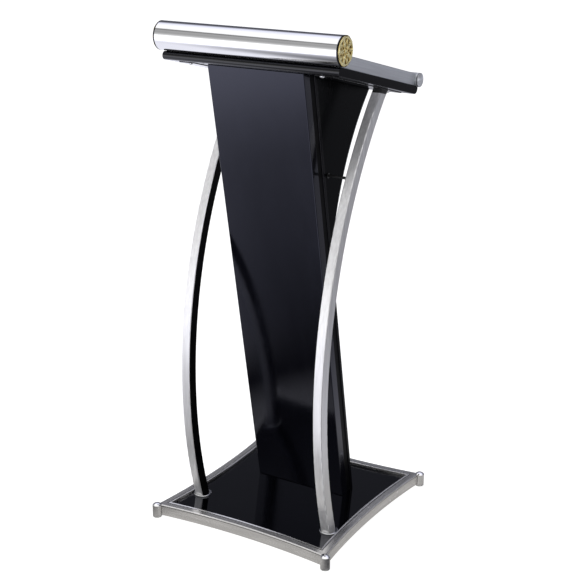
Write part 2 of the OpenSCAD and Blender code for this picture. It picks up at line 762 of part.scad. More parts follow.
// A domed end cap of the book stop
module stop_cap(side) color([0.9, 0.9, 0.9]) at_side(side)
    on_desk() translate([stop_len / 2 - stop_cap_len, stop_u, stop_w])
        rotate([0, 90, 0]) rotate_extrude($fn = 96) {
            dome_h = stop_cap_len - stop_rim_t;
            dome_r = stop_r - stop_shoulder;
            dome = (dome_r * dome_r + dome_h * dome_h) / (2 * dome_h);
            translate([0, -stop_plug_len]) square([stop_r - stop_wall - gap, stop_plug_len]);
            square([stop_r, stop_rim_t]);
            translate([0, stop_rim_t - eps]) intersection() {
                translate([0, dome_h + eps - dome]) circle(dome, $fn = 192);
                square([dome_r, stop_cap_len]);
            }
        }

// ---------- what is drawn ----------

base_board();
ballast_plate();
color([0.78, 0.77, 0.76]) base_rail(half_x, half_y, rail_r_x, 0);  // rail_front
color([0.78, 0.77, 0.76]) base_rail(half_x, half_y, rail_r_x, 180);  // rail_rear
color([0.78, 0.77, 0.76]) base_rail(half_y, half_x, rail_r_y, -90);  // rail_left
color([0.78, 0.77, 0.76]) base_rail(half_y, half_x, rail_r_y, 90);  // rail_right
corner_post(-1, -1);  // corner_post_front_left
corner_post(1, -1);  // corner_post_front_right
corner_post(-1, 1);  // corner_post_rear_left
corner_post(1, 1);  // corner_post_rear_right
post_caps();
base_screws();
levelling_foot(-1, -1);  // levelling_foot_front_left
levelling_foot(1, -1);  // levelling_foot_front_right
levelling_foot(-1, 1);  // levelling_foot_rear_left
levelling_foot(1, 1);  // levelling_foot_rear_right
leg(-1);  // leg_left
leg(1);  // leg_right
leg_inlay(-1);  // leg_inlay_left
leg_inlay(1);  // leg_inlay_right
leg_ring(-1);  // leg_ring_left
leg_ring(1);  // leg_ring_right
leg_foot_plugs();
leg_foot_bolts();
leg_top_pad(-1);  // leg_top_pad_left
leg_top_pad(1);  // leg_top_pad_right
standoff(-1);  // standoff_left
standoff(1);  // standoff_right
front_board();
back_board();
side_strip(-1);  // side_strip_left
side_strip(1);  // side_strip_right
cheek(-1);  // cheek_left
cheek(1);  // cheek_right
cheek_trim(-1);  // cheek_trim_left
cheek_trim(1);  // cheek_trim_right
shelf();
shelf_battens();
column_foot_block();
column_top_block();
column_foot_screws();
column_top_screws();
desk_slab();
desk_plate(-1);  // desk_plate_left
desk_plate(1);  // desk_plate_right
desk_bolts();
tray_base();
reading_panel();
side_rail(-1);  // side_rail_left
side_rail(1);  // side_rail_right
top_tube();
tube_cradle();
tube_screws();
tube_ring(-1);  // tube_ring_left
tube_ring(1);  // tube_ring_right
medallion(-1);  // medallion_left
medallion(1);  // medallion_right
book_stop();
stop_cap(-1);  // stop_cap_left
stop_cap(1);  // stop_cap_right
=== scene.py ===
import math

import bmesh
import bpy
import numpy as np
from mathutils import Matrix, Vector


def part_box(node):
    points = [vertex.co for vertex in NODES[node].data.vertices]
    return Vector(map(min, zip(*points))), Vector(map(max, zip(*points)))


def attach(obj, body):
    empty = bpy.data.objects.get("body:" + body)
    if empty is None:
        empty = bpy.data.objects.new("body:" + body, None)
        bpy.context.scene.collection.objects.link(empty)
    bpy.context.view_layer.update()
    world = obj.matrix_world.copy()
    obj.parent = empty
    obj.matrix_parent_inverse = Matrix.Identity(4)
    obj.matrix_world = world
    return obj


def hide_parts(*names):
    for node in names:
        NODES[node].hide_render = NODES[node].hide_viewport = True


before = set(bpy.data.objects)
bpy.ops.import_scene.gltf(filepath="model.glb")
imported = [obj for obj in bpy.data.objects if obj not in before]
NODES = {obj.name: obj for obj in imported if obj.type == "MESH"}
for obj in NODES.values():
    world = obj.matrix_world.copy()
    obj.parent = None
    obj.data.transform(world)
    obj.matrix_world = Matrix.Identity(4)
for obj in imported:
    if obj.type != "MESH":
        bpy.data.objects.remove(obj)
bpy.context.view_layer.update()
SIDES = ("left", "right")
DESK_SLOPE = 13.6               # degrees, falling towards the speaker


# ---------- camera ----------

CAMERA_TURN = (31.06, 18.34, 0.41)          # degrees round to the right, up, and rolled
CAMERA_PLACE = (1.45735, -2.43530, 1.48705)
CAMERA_LENS = 79.43
SENSOR_WIDTH = 36


def set_camera():
    """Looks down on the front from the audience's right."""
    az, el, roll = (math.radians(a) for a in CAMERA_TURN)
    back = Vector((math.sin(az) * math.cos(el), -math.cos(az) * math.cos(el), math.sin(el)))
    right = (-back).cross(Vector((0, 0, 1))).normalized()
    up = right.cross(-back).normalized()
    r = right * math.cos(roll) + up * math.sin(roll)
    u = up * math.cos(roll) - right * math.sin(roll)
    data = bpy.data.cameras.new("camera")
    data.sensor_width = SENSOR_WIDTH
    data.lens = CAMERA_LENS
    data.clip_end = 60
    cam = bpy.data.objects.new("camera", data)
    bpy.context.scene.collection.objects.link(cam)
    m = Matrix((r, u, back)).transposed().to_4x4()
    m.translation = Vector(CAMERA_PLACE)
    cam.matrix_world = m
    bpy.context.scene.camera = cam


# ---------- node helpers ----------

class Tree:
    """Builds a node tree with short calls; values may be sockets, numbers or tuples."""

    def __init__(self, owner):
        owner.use_nodes = True
        self.tree = owner.node_tree
        self.tree.nodes.clear()

    def new(self, kind, inputs=None, **settings):
        n = self.tree.nodes.new(kind)
        for k, v in settings.items():
            setattr(n, k, v)
        for k, v in (inputs or {}).items():
            self.put(n.inputs[k], v)
        return n

    def put(self, socket, value):
        if isinstance(value, bpy.types.NodeSocket):
            self.tree.links.new(value, socket)
        elif value is not None:
            socket.default_value = value

    def math(self, op, a, b=None, clamp=False):
        n = self.new("ShaderNodeMath", operation=op, use_clamp=clamp)
        for i, v in enumerate((a, b)):
            self.put(n.inputs[i], v)
        return n.outputs[0]

    def vmath(self, op, a, b=None, out=0):
        n = self.new("ShaderNodeVectorMath", operation=op)
        for i, v in enumerate((a, b)):
            self.put(n.inputs[i], v)
        return n.outputs[out]

    def split(self, v):
        n = self.new("ShaderNodeSeparateXYZ", {0: v})
        return n.outputs[0], n.outputs[1], n.outputs[2]

    def join(self, x, y, z):
        return self.new("ShaderNodeCombineXYZ", {0: x, 1: y, 2: z}).outputs[0]

    def range(self, v, a, b, c=0.0, d=1.0, smooth=False):
        """Maps v from a..b to c..d, held at the ends."""
        n = self.new("ShaderNodeMapRange", {0: v, 1: a, 2: b, 3: c, 4: d}, clamp=True)
        if smooth:
            n.interpolation_type = "SMOOTHSTEP"
        return n.outputs[0]

    def ramp(self, v, stops):
        """Greys or colours along v; a stop is its place and its tone."""
        n = self.new("ShaderNodeValToRGB", {0: v})
        e = n.color_ramp.elements
        while len(e) < len(stops):
            e.new(0.5)
        for i, (p, c) in enumerate(stops):
            e[i].position = p
            e[i].color = (c, c, c, 1) if isinstance(c, (int, float)) else (*c, 1)
        return n.outputs[0]

    def mix(self, f, a, b, mode="MIX"):
        n = self.new("ShaderNodeMix", data_type="RGBA", blend_type=mode)
        self.put(n.inputs[0], f)
        for i, v in ((6, a), (7, b)):
            self.put(n.inputs[i], (*v, 1) if isinstance(v, tuple) and len(v) == 3 else v)
        return n.outputs[2]

    def noise(self, v, scale, detail=3.0, rough=0.5, warp=0.0):
        n = self.new("ShaderNodeTexNoise", {
            "Vector": v, "Scale": scale, "Detail": detail, "Roughness": rough, "Distortion": warp})
        return n.outputs[0]

    def voronoi(self, v, scale, feature="F1"):
        n = self.new("ShaderNodeTexVoronoi", {"Vector": v, "Scale": scale}, feature=feature)
        return n.outputs["Distance"]

    def stretch(self, v, x, y, z, turn=(0, 0, 0)):
        n = self.new("ShaderNodeMapping", {"Vector": v, "Rotation": turn, "Scale": (x, y, z)})
        return n.outputs[0]

    def bump(self, height, strength, distance, normal=None):
        n = self.new("ShaderNodeBump", {
            "Height": height, "Strength": strength, "Distance": distance, "Normal": normal})
        return n.outputs[0]

    def place(self):
        return self.new("ShaderNodeTexCoord").outputs["Object"]

    def sideways(self, a, b):
        """0 where the surface faces up, front or back, 1 where it faces left or right."""
        n = self.new("ShaderNodeTexCoord").outputs["Normal"]
        return self.range(self.math("ABSOLUTE", self.split(n)[0]), a, b)

    def flatways(self, a, b):
        """1 where the surface faces up or down, 0 where it stands."""
        n = self.new("ShaderNodeTexCoord").outputs["Normal"]
        return self.range(self.math("ABSOLUTE", self.split(n)[2]), a, b)

    def hollow(self, reach, a, b):
        """1 in grooves and corners narrower than reach, 0 in the open; a and b are shares of open sky."""
        open_sky = self.new("ShaderNodeAmbientOcclusion", {"Distance": reach}, samples=6).outputs["AO"]
        return self.range(open_sky, a, b)

    def edge(self, width=0.0012):
        """1 where the surface turns a corner within width, 0 on flats."""
        round_n = self.new("ShaderNodeBevel", {"Radius": width}, samples=4).outputs[0]
        flat_n = self.new("ShaderNodeNewGeometry").outputs["Normal"]
        d = self.vmath("DOT_PRODUCT", round_n, flat_n, out="Value")
        return self.range(d, 0.995, 0.86)


MATERIALS = {}


def material(name):
    """A new material with one shader, whose inputs its maker links."""
    m = bpy.data.materials.new("look_" + name)
    MATERIALS[name] = m
    t = Tree(m)
    t.surface = t.new("ShaderNodeBsdfPrincipled")
    out = t.new("ShaderNodeOutputMaterial")
    t.tree.links.new(t.surface.outputs[0], out.inputs[0])
    return t


def finish(t, colour, rough, metallic=0.0, normal=None, **plain):
    """Feeds the shader; plain holds the values that are the same all over the surface."""
    s = t.surface.inputs
    t.put(s["Base Color"], (*colour, 1) if isinstance(colour, tuple) else colour)
    t.put(s["Roughness"], rough)
    t.put(s["Metallic"], metallic)
    t.put(s["Normal"], normal)
    for k, v in plain.items():
        s[k.replace("_", " ")].default_value = v


# ---------- materials ----------

def lacquer(name, base, rough, wipe=(1, 1, 1), coat=1.0, coat_rough=0.05, specular=0.5,
            edge_coat=1.0, tint=(0.84, 0.86, 1.0), painted_shade_under=False):
    """Polished black lacquer: orange peel, wiping haze, dust nibs, rubbed edges.

    wipe stretches the haze, edge_coat thins the coat on the faces at left and right, and under
    takes the coat off where something hangs over it, a painted shade in the reflection.
    """
    t = material(name)
    p = t.place()
    cloud = t.noise(p, 7, 4, 0.55)
    haze = t.noise(t.stretch(p, *wipe), 16, 6, 0.6, 0.4)
    fine = t.noise(t.stretch(p, *wipe), 240, 3, 0.6)
    dust = t.range(t.voronoi(p, 190), 0.045, 0.02)
    edge = t.math("MULTIPLY", t.edge(), t.range(t.noise(p, 60, 5, 0.6), 0.35, 0.75))
    lift = tuple(1.7 * c + 0.0003 for c in base)
    colour = t.mix(t.range(cloud, 0.35, 0.7), base, lift)
    colour = t.mix(t.math("MULTIPLY", dust, 0.18), colour, (0.06, 0.06, 0.065))
    colour = t.mix(t.math("MULTIPLY", edge, 0.35), colour, (0.07, 0.07, 0.08))
    r = t.range(haze, 0.3, 0.75, rough, rough + 0.09)
    r = t.math("ADD", r, t.range(fine, 0.45, 0.8, 0, 0.03))
    r = t.math("ADD", r, t.math("MULTIPLY", edge, 0.12), clamp=True)
    skin = t.bump(t.noise(p, 420, 2, 0.4), 0.05, 0.0002)
    waves = t.bump(t.noise(p, 26, 2, 0.4), 0.012, 0.004, skin)
    finish(t, colour, r, 0.0, t.bump(dust, 0.2, 0.0001, waves), Coat_Roughness=coat_rough,
           Coat_Tint=(0.90, 0.92, 1.0, 1.0), Specular_IOR_Level=specular, Specular_Tint=(*tint, 1.0))
    side = t.sideways(0.6, 0.9)
    weight = t.math("SUBTRACT", coat, t.math("MULTIPLY", side, coat * (1 - edge_coat)))
    if painted_shade_under:
        # Painted shade: the coat, and with it its reflection, is taken off where something hangs over the
        # surface
        open_part = t.math("SUBTRACT", 1.0, t.hollow(0.05, 0.8, 0.5))
        weight = t.math("MULTIPLY", weight, open_part, clamp=True)
    t.put(t.surface.inputs["Coat Weight"], weight)


def metal(name, base, rough, grain, streak=0.06, depth=0.05, tint=(0.0, 0.0, 0.0), smudge=0.05,
          metallic=1.0, edges=1.0, slope=0.0, groove_shade=0.0):
    """A metal with a grain: grain stretches the streaks, edges darkens the faces that stand upright, dirt
    paints shade into grooves.
    """
    t = material(name)
    p = t.stretch(t.place(), 1, 1, 1, (math.radians(slope), 0, 0))
    g = t.stretch(p, *grain)
    hair = t.noise(g, 900, 3, 0.65)
    band = t.noise(g, 190, 4, 0.6)
    hand = t.noise(p, 11, 6, 0.62, 0.6)
    edge = t.math("MULTIPLY", t.edge(0.0008), t.range(t.noise(p, 90, 4, 0.6), 0.3, 0.7))
    dark = tuple(0.86 * c for c in base)
    light = tuple(min(1.0, c * 1.05 + k) for c, k in zip(base, tint))
    colour = t.mix(t.range(band, 0.3, 0.7), dark, light)
    touched = t.math("MULTIPLY", t.range(hand, 0.5, 0.8), 0.25)
    colour = t.mix(touched, colour, tuple(0.78 * c for c in base))
    colour = t.mix(t.math("MULTIPLY", edge, 0.2), colour, (0.92, 0.92, 0.91))
    r = t.range(hair, 0.25, 0.75, rough - streak / 2, rough + streak / 2)
    r = t.math("ADD", r, t.range(band, 0.35, 0.7, 0, streak * 0.6))
    r = t.math("ADD", r, t.range(hand, 0.5, 0.8, 0, smudge), clamp=True)
    n = t.bump(hair, depth, 0.00006)
    if edges < 1:
        # Darker on the faces that stand upright than on those that face up or down
        colour = t.mix(t.flatways(0.6, 0.9), tuple(edges * c for c in base), colour)
    if groove_shade:
        # Painted shade: grooves and tight corners are darkened by their ambient occlusion
        groove_shade_mask = t.math("MULTIPLY", t.hollow(0.004, 0.8, 0.35), groove_shade)
        colour = t.mix(groove_shade_mask, colour, (0.02, 0.019, 0.018))
    finish(t, colour, r, metallic, t.bump(band, depth * 0.5, 0.0002, n))


def mirror(name, base, rough):
    """Polished plate: fingerprint haze, sparse hairline scratches and a very faint ripple."""
    t = material(name)
    p = t.place()
    haze = t.noise(p, 13, 7, 0.62, 0.8)
    scratch = t.noise(t.stretch(p, 3, 90, 70, (0.3, 0.1, 0.2)), 12, 2, 0.5)
    lines = t.range(scratch, 0.69, 0.72)
    pits = t.range(t.voronoi(p, 260), 0.05, 0.02)
    colour = t.mix(t.range(haze, 0.4, 0.8), base, tuple(0.93 * c for c in base))
    colour = t.mix(t.math("MULTIPLY", pits, 0.4), colour, (0.3, 0.3, 0.31))
    r = t.math("ADD", t.range(haze, 0.45, 0.8, rough, rough + 0.06), t.math("MULTIPLY", lines, 0.06))
    ripple = t.bump(t.noise(t.stretch(p, 1, 4, 4), 8, 2, 0.4), 0.02, 0.002)
    finish(t, colour, r, 1.0, t.bump(lines, 0.08, 0.00005, ripple))


def pearl(name, face, side):
    """Satin silver cap with fine lathe rings; its colour is a painted reflection, bright on the dome and
    darker on the turned rim.
    """
    t = material(name)
    p = t.place()
    lathe = t.noise(t.stretch(p, 40, 1, 1), 60, 3, 0.6)
    haze = t.noise(p, 30, 5, 0.6, 0.5)
    # Painted reflection: the face colour where the surface faces left or right, on the dome, and the
    # darker side colour on the rim
    colour = t.mix(t.sideways(0.45, 0.85), side, face)
    dull = t.math("MULTIPLY", t.range(haze, 0.4, 0.8), 0.2)
    colour = t.mix(dull, colour, tuple(0.8 * c for c in face))
    r = t.range(haze, 0.3, 0.7, 0.13, 0.2)
    finish(t, colour, r, 0.3, t.bump(lathe, 0.04, 0.0001), Coat_Weight=0.3, Coat_Roughness=0.06)


def plastic(name, base, rough, grain=700, depth=0.15, specular=0.5):
    """Moulded plastic or powder coat with a spark-eroded grain and scuffed corners."""
    t = material(name)
    p = t.place()
    fine = t.noise(p, grain, 3, 0.6)
    cells = t.voronoi(p, grain * 0.7)
    scuff = t.range(t.noise(p, 40, 6, 0.65, 1.0), 0.55, 0.8)
    edge = t.math("MULTIPLY", t.edge(0.0008), t.range(t.noise(p, 120, 4, 0.6), 0.35, 0.7))
    cloud = t.range(t.noise(p, 20, 4, 0.5), 0.3, 0.7)
    colour = t.mix(cloud, base, tuple(1.5 * c + 0.003 for c in base))
    colour = t.mix(t.math("MULTIPLY", scuff, 0.2), colour, tuple(2.2 * c + 0.02 for c in base))
    colour = t.mix(t.math("MULTIPLY", edge, 0.4), colour, tuple(2.5 * c + 0.05 for c in base))
    r = t.range(fine, 0.3, 0.7, rough - 0.05, rough + 0.05)
    r = t.math("ADD", r, t.math("MULTIPLY", scuff, 0.12), clamp=True)
    n = t.bump(t.math("ADD", cells, fine), depth, 0.00008)
    finish(t, colour, r, 0.0, n, Specular_IOR_Level=specular)


def wood(name, light, dark, along):
    """Raw softwood or board: growth rings, pores along the grain and a dry surface."""
    t = material(name)
    p = t.place()
    g = t.stretch(p, *along)
    sway = t.noise(g, 14, 3, 0.5)
    rings = t.new("ShaderNodeTexWave", {
        "Vector": g, "Scale": 34, "Distortion": 6, "Detail": 3, "Detail Scale": 1.6},
        wave_type="RINGS", rings_direction="SPHERICAL").outputs[1]
    pores = t.range(t.noise(g, 900, 2, 0.6), 0.62, 0.7)
    colour = t.mix(t.range(rings, 0.2, 0.9), light, dark)
    stain = t.math("MULTIPLY", t.range(sway, 0.3, 0.8), 0.4)
    colour = t.mix(stain, colour, tuple(0.7 * c for c in dark))
    colour = t.mix(t.math("MULTIPLY", pores, 0.5), colour, tuple(0.4 * c for c in dark))
    r = t.range(rings, 0.0, 1.0, 0.62, 0.78)
    n = t.bump(t.math("SUBTRACT", rings, pores), 0.25, 0.0003)
    finish(t, colour, r, 0.0, n, Specular_IOR_Level=0.35)


def leather(name, base):
    """The reading panel's covering: pebbled leathercloth with creases and rubbed high spots."""
    t = material(name)
    p = t.place()
    warp = t.noise(p, 60, 3, 0.5)
    shift = t.vmath("MULTIPLY", t.join(warp, warp, warp), (0.004, 0.004, 0.004))
    q = t.vmath("ADD", p, shift)
    pebble = t.voronoi(q, 520, "SMOOTH_F1")
    crease = t.range(t.voronoi(q, 520, "DISTANCE_TO_EDGE"), 0.0, 0.12)
    broad = t.noise(p, 18, 5, 0.6)
    colour = t.mix(crease, tuple(0.45 * c for c in base), base)
    rubbed = t.math("MULTIPLY", t.range(broad, 0.45, 0.8), 0.5)
    colour = t.mix(rubbed, colour, tuple(1.8 * c + 0.006 for c in base))
    r = t.math("ADD", t.range(crease, 0, 1, 0.58, 0.42), t.range(broad, 0.4, 0.8, 0, 0.08))
    n = t.bump(t.math("SUBTRACT", crease, t.math("MULTIPLY", pebble, 0.6)), 0.45, 0.0002)
    finish(t, colour, r, 0.0, n, Specular_IOR_Level=0.45)


def gilt(name, depth):
    """Gilded casting: bright on the high relief, brown in the hollows as a painted shade; depth is the
    relief's height.
    """
    t = material(name)
    p = t.place()
    height = t.range(t.split(p)[0], 0.0, depth)
    grime_and_shade = t.noise(p, 600, 5, 0.6)
    # Painted shade: the colour goes brown to near black towards the relief's floor, broken up by the grime
    # noise
    low = t.range(t.math("SUBTRACT", height, t.math("MULTIPLY", grime_and_shade, 0.14)), 0.22, 0.62)
    colour = t.ramp(low, [(0.0, (0.035, 0.02, 0.004)), (0.2, (0.30, 0.18, 0.03)),
                          (0.45, (0.95, 0.72, 0.24)), (1.0, (1.0, 0.90, 0.48))])
    r = t.math("ADD", t.range(low, 0, 1, 0.5, 0.2), t.range(grime_and_shade, 0.35, 0.75, 0, 0.08))
    n = t.bump(t.noise(p, 1500, 3, 0.6), 0.12, 0.00005)
    finish(t, colour, r, t.range(low, 0.0, 0.3, 0.35, 0.7), n)


RAIL_ALUMINIUM = (0.86, 0.845, 0.83)


def make_materials():
    # The slab loses its coat where something hangs over it, a painted shade
    lacquer("slab", (0.0008, 0.0008, 0.0014), 0.16, wipe=(0.25, 2, 2), coat_rough=0.08,
            specular=0.06, edge_coat=0, painted_shade_under=True)
    lacquer("column_front", (0.0006, 0.0006, 0.0016), 0.08, wipe=(2, 2, 0.2), coat=0.3, coat_rough=0.09,
            specular=0.55, edge_coat=0, tint=(0.72, 0.75, 1.0))
    lacquer("column_rear", (0.0010, 0.0010, 0.0016), 0.20, wipe=(2, 2, 0.2), coat_rough=0.10,
            specular=0.10, edge_coat=0)
    lacquer("cheek", (0.0006, 0.0009, 0.0012), 0.2, wipe=(2, 2, 0.3), coat=0.0, specular=0.04)
    lacquer("base", (0.0002, 0.0002, 0.0005), 0.05, wipe=(0.4, 2, 2), coat_rough=0.03, coat=0.4)
    lacquer("shelf", (0.0022, 0.0022, 0.0028), 0.20, wipe=(0.3, 2, 2), coat=0.6)
    metal("leg", (0.88, 0.875, 0.875), 0.30, (1, 1, 0.02), streak=0.04, smudge=0.02, metallic=0.55)
    # The rails and posts get painted shade in their grooves
    metal("rail_x", RAIL_ALUMINIUM, 0.22, (0.02, 1, 1), streak=0.06, metallic=0.85, groove_shade=0.9)
    metal("rail_y", RAIL_ALUMINIUM, 0.22, (1, 0.02, 1), streak=0.06, metallic=0.85, groove_shade=0.9)
    metal("post", (0.84, 0.83, 0.82), 0.14, (1, 1, 0.03), streak=0.05, metallic=0.85, groove_shade=0.9)
    metal("tube_grey", (0.60, 0.62, 0.65), 0.42, (0.02, 1, 1), streak=0.04, metallic=0.5)
    metal("band_grey", (0.68, 0.70, 0.73), 0.36, (1, 0.03, 1), streak=0.02, depth=0.01, smudge=0.02,
          metallic=0.7, slope=DESK_SLOPE)
    # The plates are near black on their upright faces
    metal("plate", (0.72, 0.72, 0.73), 0.08, (1, 0.04, 1), streak=0.03, edges=0.04, slope=DESK_SLOPE)
    metal("zinc", (0.62, 0.62, 0.65), 0.33, (1, 1, 1), tint=(0.02, 0.015, 0.0), smudge=0.1)
    metal("foot", (0.66, 0.66, 0.65), 0.26, (1, 1, 0.1))
    metal("trim", (0.30, 0.30, 0.31), 0.3, (1, 1, 0.05))
    mirror("chrome_tube", (0.90, 0.90, 0.915), 0.03)
    mirror("chrome_small", (0.88, 0.88, 0.89), 0.05)
    # Painted reflection on the caps: a bright dome and a dark rim
    pearl("cap", (0.86, 0.88, 0.92), (0.16, 0.165, 0.175))
    plastic("gloss_black", (0.002, 0.002, 0.002), 0.25, grain=400, depth=0.03, specular=0.15)
    plastic("inlay", (0.0008, 0.0008, 0.0008), 0.35, grain=500, depth=0.05, specular=0.06)
    plastic("black_plastic", (0.012, 0.012, 0.012), 0.5)
    plastic("black_rod", (0.010, 0.010, 0.010), 0.35, grain=900, depth=0.08)
    plastic("steel_paint", (0.03, 0.03, 0.033), 0.45, grain=500, depth=0.2)
    plastic("strip", (0.0008, 0.0008, 0.0012), 0.4, grain=600, depth=0.08, specular=0.05)
    wood("wood_x", (0.50, 0.37, 0.22), (0.33, 0.21, 0.11), (0.06, 1, 1))
    wood("wood_y", (0.44, 0.33, 0.21), (0.30, 0.20, 0.12), (1, 0.06, 1))
    leather("panel", (0.020, 0.020, 0.022))


LOOKS = {
    "slab": ["desk_slab"],
    "column_front": ["front_board"],
    "column_rear": ["back_board"],
    "cheek": ["cheek_left", "cheek_right"],
    "base": ["base_board"],
    "shelf": ["shelf"],
    "leg": ["leg_left", "leg_right"],
    "rail_x": ["rail_front", "rail_rear"],
    "rail_y": ["rail_left", "rail_right"],
    "post": [f"corner_post_{a}_{b}" for a in ("front", "rear") for b in SIDES],
    "foot": [f"levelling_foot_{a}_{b}" for a in ("front", "rear") for b in SIDES],
    "tube_grey": ["book_stop"],
    "band_grey": ["side_rail_left", "side_rail_right"],
    "plate": ["desk_plate_left", "desk_plate_right"],
    "zinc": ["base_screws", "leg_foot_bolts", "column_foot_screws", "column_top_screws", "tube_screws"],
    "trim": ["cheek_trim_left", "cheek_trim_right"],
    "chrome_tube": ["top_tube"],
    "chrome_small": ["leg_ring_left", "leg_ring_right", "post_caps", "desk_bolts"],
    "cap": ["stop_cap_left", "stop_cap_right"],
    "gloss_black": ["tube_ring_left", "tube_ring_right"],
    "inlay": ["leg_inlay_left", "leg_inlay_right"],
    "black_plastic": ["leg_foot_plugs", "leg_top_pad_left", "leg_top_pad_right", "tube_cradle"],
    "black_rod": ["standoff_left", "standoff_right"],
    "steel_paint": ["ballast_plate"],
    "strip": ["side_strip_left", "side_strip_right"],
    "wood_x": ["column_foot_block", "column_top_block", "tray_base"],
    "wood_y": ["shelf_battens"],
    "panel": ["reading_panel"],
}


def dress_nodes():
    """Puts each look on every slot of its nodes."""
    for look, nodes in LOOKS.items():
        for n in nodes:
            for s in NODES[n].material_slots:
                s.material = MATERIALS[look]


# ---------- rounded arrises on the boards ----------

ROUNDING_STEPS = 3
# Millimetres of rounding for the boards and bars whose corners catch the light
ROUNDED = {
    "front_board": 1.8, "back_board": 1.2, "cheek_left": 0.9, "cheek_right": 0.9, "shelf": 1.2,
    "desk_slab": 1.4, "side_rail_left": 0.7, "side_rail_right": 0.7, "reading_panel": 2.2,
    "side_strip_left": 0.5, "side_strip_right": 0.5, "desk_plate_left": 0.5, "desk_plate_right": 0.5,
}


def rounded(node, mm):
    """A copy of a CAD board with its outer arrises rounded, which stands for the board."""
    lo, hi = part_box(node)
    bm = bmesh.new()
    bm.from_mesh(NODES[node].data)
    bmesh.ops.remove_doubles(bm, verts=bm.verts[:], dist=1e-5)
    bmesh.ops.dissolve_limit(bm, angle_limit=math.radians(0.4), verts=bm.verts[:], edges=bm.edges[:])

    def outer(e):
        """Whether to round an edge; on the slab and the plates, only the edges of their two ends."""
        if len(e.link_faces) != 2 or e.calc_face_angle(0) < math.radians(40):
            return False
        if node != "desk_slab" and not node.startswith("desk_plate"):
            return True
        return all(min(v.co.x - lo.x, hi.x - v.co.x) < 1e-4 for v in e.verts)

    bmesh.ops.bevel(bm, geom=[e for e in bm.edges if outer(e)], offset=mm / 1000,
                    segments=ROUNDING_STEPS, profile=0.5, affect="EDGES", clamp_overlap=True)
    mesh = bpy.data.meshes.new(node + "_rounded")
    bm.to_mesh(mesh)
    bm.free()
    mesh.shade_smooth()
    mesh.set_sharp_from_angle(angle=math.radians(50))
    o = bpy.data.objects.new(node + "_rounded", mesh)
    bpy.context.scene.collection.objects.link(o)
    w = o.modifiers.new("normals", "WEIGHTED_NORMAL")
    w.keep_sharp = True
    mesh.materials.append(NODES[node].material_slots[0].material)
    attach(o, "lectern")
    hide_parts(node)


# ---------- medallions ----------

RINGS, SPOKES = 84, 352         # how finely a rosette's face is divided


def relief(r, a):
    """Height from 0 to 1 of a plain rosette at radius r (0 to 1) and angle a."""
    def lobe(count, r0, r1, turn, sharp=1.0):
        w = (np.cos(count * (a - turn)) * 0.5 + 0.5) ** sharp
        along = np.clip((r - r0) / (r1 - r0), 0, 1)
        tip = np.clip(1 - np.abs(along - 0.5 - 0.4 * (w - 0.5)) * 2.0, 0, 1)
        return np.sqrt(np.clip(w * tip, 0, 1))

    bevel = np.clip((1.0 - r) / 0.075, 0, 1) * 0.85 * (r > 0.84)
    rim = np.clip((r - 0.80) / 0.04, 0, 1) * bevel
    outer = lobe(10, 0.42, 0.82, 0.0, 1.6) * 0.78
    vein = 0.2 * np.exp(-(np.sin(5 * a) / 0.2) ** 2) * ((r > 0.52) & (r < 0.74))
    middle = lobe(5, 0.16, 0.60, math.pi / 5, 1.3) * 0.95
    crease = 0.3 * np.exp(-(np.sin(2.5 * (a - math.pi / 5)) / 0.12) ** 2)
    crease = crease * ((r > 0.24) & (r < 0.52))
    beads = np.exp(-((r - 0.22) / 0.035) ** 2) * (np.cos(5 * a) * 0.5 + 0.5) ** 2 * 0.8
    boss = np.sqrt(np.clip(1 - (r / 0.15) ** 2, 0, 1))
    floor = np.full(r.shape, 0.02)
    return np.clip(np.maximum.reduce([rim, outer - vein, middle - crease, beads, boss, floor]), 0, 1)


def medallion(side):
    """A disc with the rosette in relief, which stands for the plain gilt disc."""
    node = "medallion_" + side
    lo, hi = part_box(node)
    sign = 1 if side == "right" else -1
    radius = (hi.z - lo.z) / 2
    thick = hi.x - lo.x
    r = np.linspace(0, 1, RINGS + 1)[1:]
    r[-1] = 0.9999
    a = np.linspace(0, 2 * math.pi, SPOKES, endpoint=False)
    rr, aa = np.meshgrid(r, a, indexing="ij")
    h = relief(rr, aa) * thick * 0.62 + thick * 0.3
    rim = rr * radius
    x, y, z = h.ravel(), (rim * np.cos(aa)).ravel(), (rim * np.sin(aa)).ravel()
    verts = [(thick * 0.92, 0, 0)] + list(zip(x, y, z))
    back = len(verts)
    verts += [(0, radius * math.cos(t), radius * math.sin(t)) for t in a] + [(0, 0, 0)]
    faces = []
    for j in range(SPOKES):
        k = (j + 1) % SPOKES
        faces.append((0, 1 + j, 1 + k))
        for i in range(RINGS - 1):
            p, q = 1 + i * SPOKES, 1 + (i + 1) * SPOKES
            faces.append((p + j, q + j, q + k, p + k))
        last = 1 + (RINGS - 1) * SPOKES
        faces.append((last + j, back + j, back + k, last + k))
        faces.append((back + j, back + SPOKES, back + k))
    mesh = bpy.data.meshes.new("rosette_" + side)
    mesh.from_pydata(verts, [], faces)
    mesh.update()
    mesh.validate()
    mesh.shade_smooth()
    o = bpy.data.objects.new("rosette_" + side, mesh)
    bpy.context.scene.collection.objects.link(o)
    o.location = (lo.x if sign > 0 else hi.x, (lo.y + hi.y) / 2, (lo.z + hi.z) / 2)
    if sign < 0:
        o.rotation_euler = (0, 0, math.pi)
    mesh.materials.append(MATERIALS["gilt"])
    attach(o, "lectern")
    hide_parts(node)


def make_medallions():
    lo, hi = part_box("medallion_right")
    gilt("gilt", hi.x - lo.x)
    for side in SIDES:
        medallion(side)


# ---------- studio ----------

